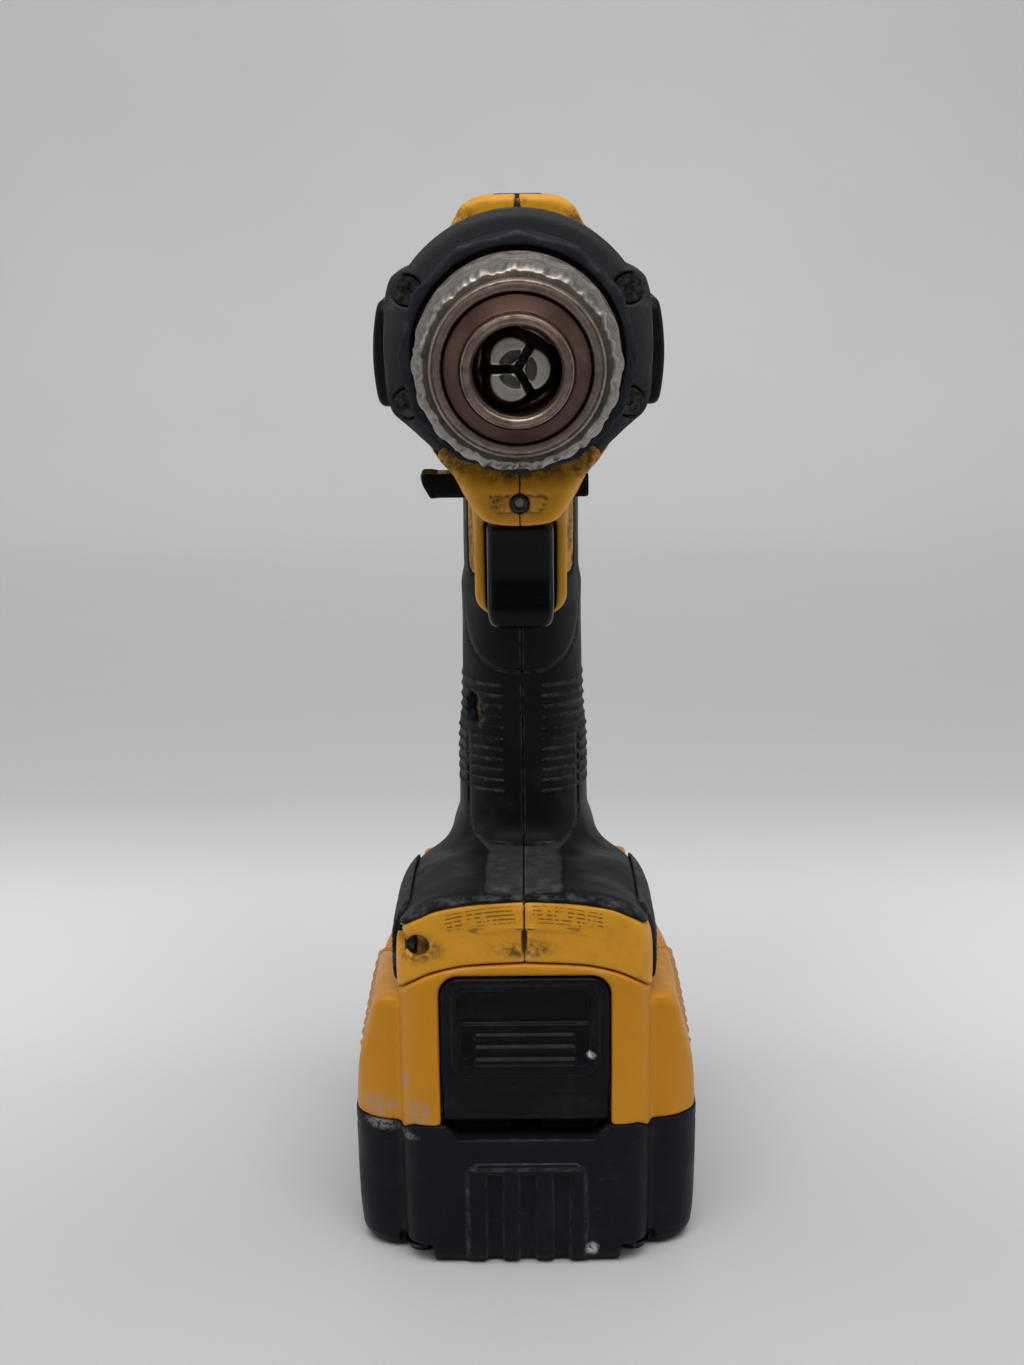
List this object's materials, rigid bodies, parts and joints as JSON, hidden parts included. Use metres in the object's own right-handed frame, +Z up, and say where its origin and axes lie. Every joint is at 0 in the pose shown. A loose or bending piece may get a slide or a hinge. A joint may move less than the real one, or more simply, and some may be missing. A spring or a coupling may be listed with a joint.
{
  "type": "cordless drill",
  "caption": "Pistol-grip cordless drill with a keyless chuck, torque collar, two-speed planetary gearbox, trigger switch and a slide-on battery pack.",
  "frame": {"origin": "on the ground under the middle of the tool's overall box", "axes": "+Z up, the chuck points along -Y, +X to the right of someone looking at the chuck"},
  "size_m": [0.0776, 0.19, 0.2346],
  "materials": {
    "housing_yellow": "moulded satin, soiled",
    "case_black": "fine moulded texture",
    "grip_rubber": "soft overmould",
    "collar_grey": "worn satin",
    "trigger_gloss": "polished by use",
    "latch_black": "satin with smooth pocket",
    "chuck_sleeve_steel": "worn, scuffed",
    "chuck_dark_steel": "dark, lightly rusted",
    "jaw_steel": "ground",
    "gear_steel": "ground",
    "spring_steel": "bright",
    "screw_steel": "black oxide",
    "winding_copper": "lacquered windings and laminations",
    "fan_nylon": "natural nylon",
    "lamp_lens": "clear",
    "cell_jacket": "shrink sleeve over a steel can",
    "board_green": "solder mask"
  },
  "bodies": {
    "drill": {"left_housing": "housing_yellow", "right_housing": "housing_yellow", "left_grip": "grip_rubber", "right_grip": "grip_rubber", "left_bumper": "grip_rubber", "right_bumper": "grip_rubber", "gear_case": "case_black", "gear_case_screw_1": "screw_steel", "gear_case_screw_2": "screw_steel", "gear_case_screw_3": "screw_steel", "gear_case_screw_4": "screw_steel", "housing_screw_1": "screw_steel", "housing_screw_2": "screw_steel", "housing_screw_3": "screw_steel", "front_bearing": "spring_steel", "rear_bearing": "spring_steel", "clutch_spring": "spring_steel", "clutch_plate": "spring_steel", "ring_gear_1": "gear_steel", "motor_can": "gear_steel", "switch_body": "case_black", "led_lens": "lamp_lens", "terminal_block": "case_black", "trigger_spring": "spring_steel"},
    "motor": {"motor_armature": "winding_copper", "motor_pinion": "gear_steel", "motor_fan": "fan_nylon"},
    "first_carrier": {"carrier_1": "gear_steel"},
    "planet_1": {"planet_gear_1": "gear_steel"},
    "planet_2": {"planet_gear_2": "gear_steel"},
    "planet_3": {"planet_gear_3": "gear_steel"},
    "planet_4": {"planet_gear_4": "gear_steel"},
    "planet_5": {"planet_gear_5": "gear_steel"},
    "planet_6": {"planet_gear_6": "gear_steel"},
    "chuck": {"spindle": "gear_steel", "carrier_2": "gear_steel", "chuck_body": "chuck_dark_steel", "chuck_screw": "chuck_dark_steel"},
    "sleeve": {"chuck_sleeve": "chuck_sleeve_steel", "chuck_nut": "chuck_dark_steel"},
    "jaw_slide_1": {"jaw_1": "jaw_steel"},
    "jaw_slide_2": {"jaw_2": "jaw_steel"},
    "jaw_slide_3": {"jaw_3": "jaw_steel"},
    "collar": {"clutch_collar": "collar_grey"},
    "speed_shift": {"speed_selector": "case_black", "ring_gear_2": "gear_steel"},
    "direction": {"direction_button": "case_black"},
    "trigger_lever": {"trigger": "trigger_gloss"},
    "battery": {"battery_upper_case": "housing_yellow", "battery_lower_case": "case_black", "battery_board": "board_green", "battery_screw_left": "screw_steel", "battery_screw_right": "screw_steel", "cell_pair_1": "cell_jacket", "cell_pair_2": "cell_jacket", "cell_pair_3": "cell_jacket", "cell_pair_4": "cell_jacket", "cell_pair_5": "cell_jacket", "latch_spring": "spring_steel"},
    "latch": {"battery_latch": "latch_black"}
  },
  "joints": [
    {"name": "motor_spin", "type": "hinge", "parent": "drill", "child": "motor", "pos_m": [0, 0, 0.204], "axis": [0, 1, 0], "continuous": true},
    {"name": "first_carrier_spin", "type": "hinge", "parent": "drill", "child": "first_carrier", "pos_m": [0, -0.0187, 0.204], "axis": [0, 1, 0], "continuous": true},
    {"name": "planet_1_spin", "type": "hinge", "parent": "first_carrier", "child": "planet_1", "pos_m": [0, -0.0131, 0.216], "axis": [0, 1, 0], "continuous": true},
    {"name": "planet_2_spin", "type": "hinge", "parent": "first_carrier", "child": "planet_2", "pos_m": [-0.01039, -0.0131, 0.198], "axis": [0, 1, 0], "continuous": true},
    {"name": "planet_3_spin", "type": "hinge", "parent": "first_carrier", "child": "planet_3", "pos_m": [0.01039, -0.0131, 0.198], "axis": [0, 1, 0], "continuous": true},
    {"name": "chuck_spin", "type": "hinge", "parent": "drill", "child": "chuck", "pos_m": [0, -0.06, 0.204], "axis": [0, 1, 0], "continuous": true},
    {"name": "planet_4_spin", "type": "hinge", "parent": "chuck", "child": "planet_4", "pos_m": [0, -0.0244, 0.216], "axis": [0, 1, 0], "continuous": true},
    {"name": "planet_5_spin", "type": "hinge", "parent": "chuck", "child": "planet_5", "pos_m": [-0.01039, -0.0244, 0.198], "axis": [0, 1, 0], "continuous": true},
    {"name": "planet_6_spin", "type": "hinge", "parent": "chuck", "child": "planet_6", "pos_m": [0.01039, -0.0244, 0.198], "axis": [0, 1, 0], "continuous": true},
    {"name": "sleeve_turn", "type": "hinge", "parent": "chuck", "child": "sleeve", "pos_m": [0, -0.07, 0.204], "axis": [0, 1, 0], "range_deg": [-144, 1080]},
    {"name": "jaw_1_travel", "type": "slide", "parent": "chuck", "child": "jaw_slide_1", "axis": [0.342, 0.9397, 0], "range_m": [-0.0022, 0.0165]},
    {"name": "jaw_2_travel", "type": "slide", "parent": "chuck", "child": "jaw_slide_2", "axis": [-0.171, 0.9397, 0.2962], "range_m": [-0.0022, 0.0165]},
    {"name": "jaw_3_travel", "type": "slide", "parent": "chuck", "child": "jaw_slide_3", "axis": [-0.171, 0.9397, -0.2962], "range_m": [-0.0022, 0.0165]},
    {"name": "collar_turn", "type": "hinge", "parent": "drill", "child": "collar", "pos_m": [0, -0.045, 0.204], "axis": [0, 1, 0], "range_deg": [0, 300]},
    {"name": "speed_slide", "type": "slide", "parent": "drill", "child": "speed_shift", "axis": [0, -1, 0], "range_m": [0, 0.005]},
    {"name": "direction_slide", "type": "slide", "parent": "drill", "child": "direction", "axis": [1, 0, 0], "range_m": [0, 0.0063]},
    {"name": "trigger_squeeze", "type": "slide", "parent": "drill", "child": "trigger_lever", "axis": [0, 1, 0], "range_m": [0, 0.0065], "stiffness_N_per_m": 600, "springref_m": -0.004, "deforming": ["trigger_spring"]},
    {"name": "battery_slide", "type": "slide", "parent": "drill", "child": "battery", "axis": [0, -1, 0], "range_m": [0, 0.078]},
    {"name": "latch_press", "type": "slide", "parent": "battery", "child": "latch", "axis": [0, 0, -1], "range_m": [0, 0.0036], "stiffness_N_per_m": 500, "springref_m": -0.003, "deforming": ["latch_spring"]}
  ],
  "couplings": [
    {"joint": "first_carrier_spin", "follows": "motor_spin", "ratio": 0.25},
    {"joint": "planet_1_spin", "follows": "motor_spin", "ratio": -0.75},
    {"joint": "planet_2_spin", "follows": "motor_spin", "ratio": -0.75},
    {"joint": "planet_3_spin", "follows": "motor_spin", "ratio": -0.75},
    {"joint": "chuck_spin", "follows": "motor_spin", "ratio": 0.0625},
    {"joint": "planet_4_spin", "follows": "motor_spin", "ratio": -0.1875},
    {"joint": "planet_5_spin", "follows": "motor_spin", "ratio": -0.1875},
    {"joint": "planet_6_spin", "follows": "motor_spin", "ratio": -0.1875},
    {"joint": "jaw_1_travel", "follows": "sleeve_turn", "m_per_rad": 0.00087005},
    {"joint": "jaw_2_travel", "follows": "sleeve_turn", "m_per_rad": 0.00087005},
    {"joint": "jaw_3_travel", "follows": "sleeve_turn", "m_per_rad": 0.00087005}
  ]
}
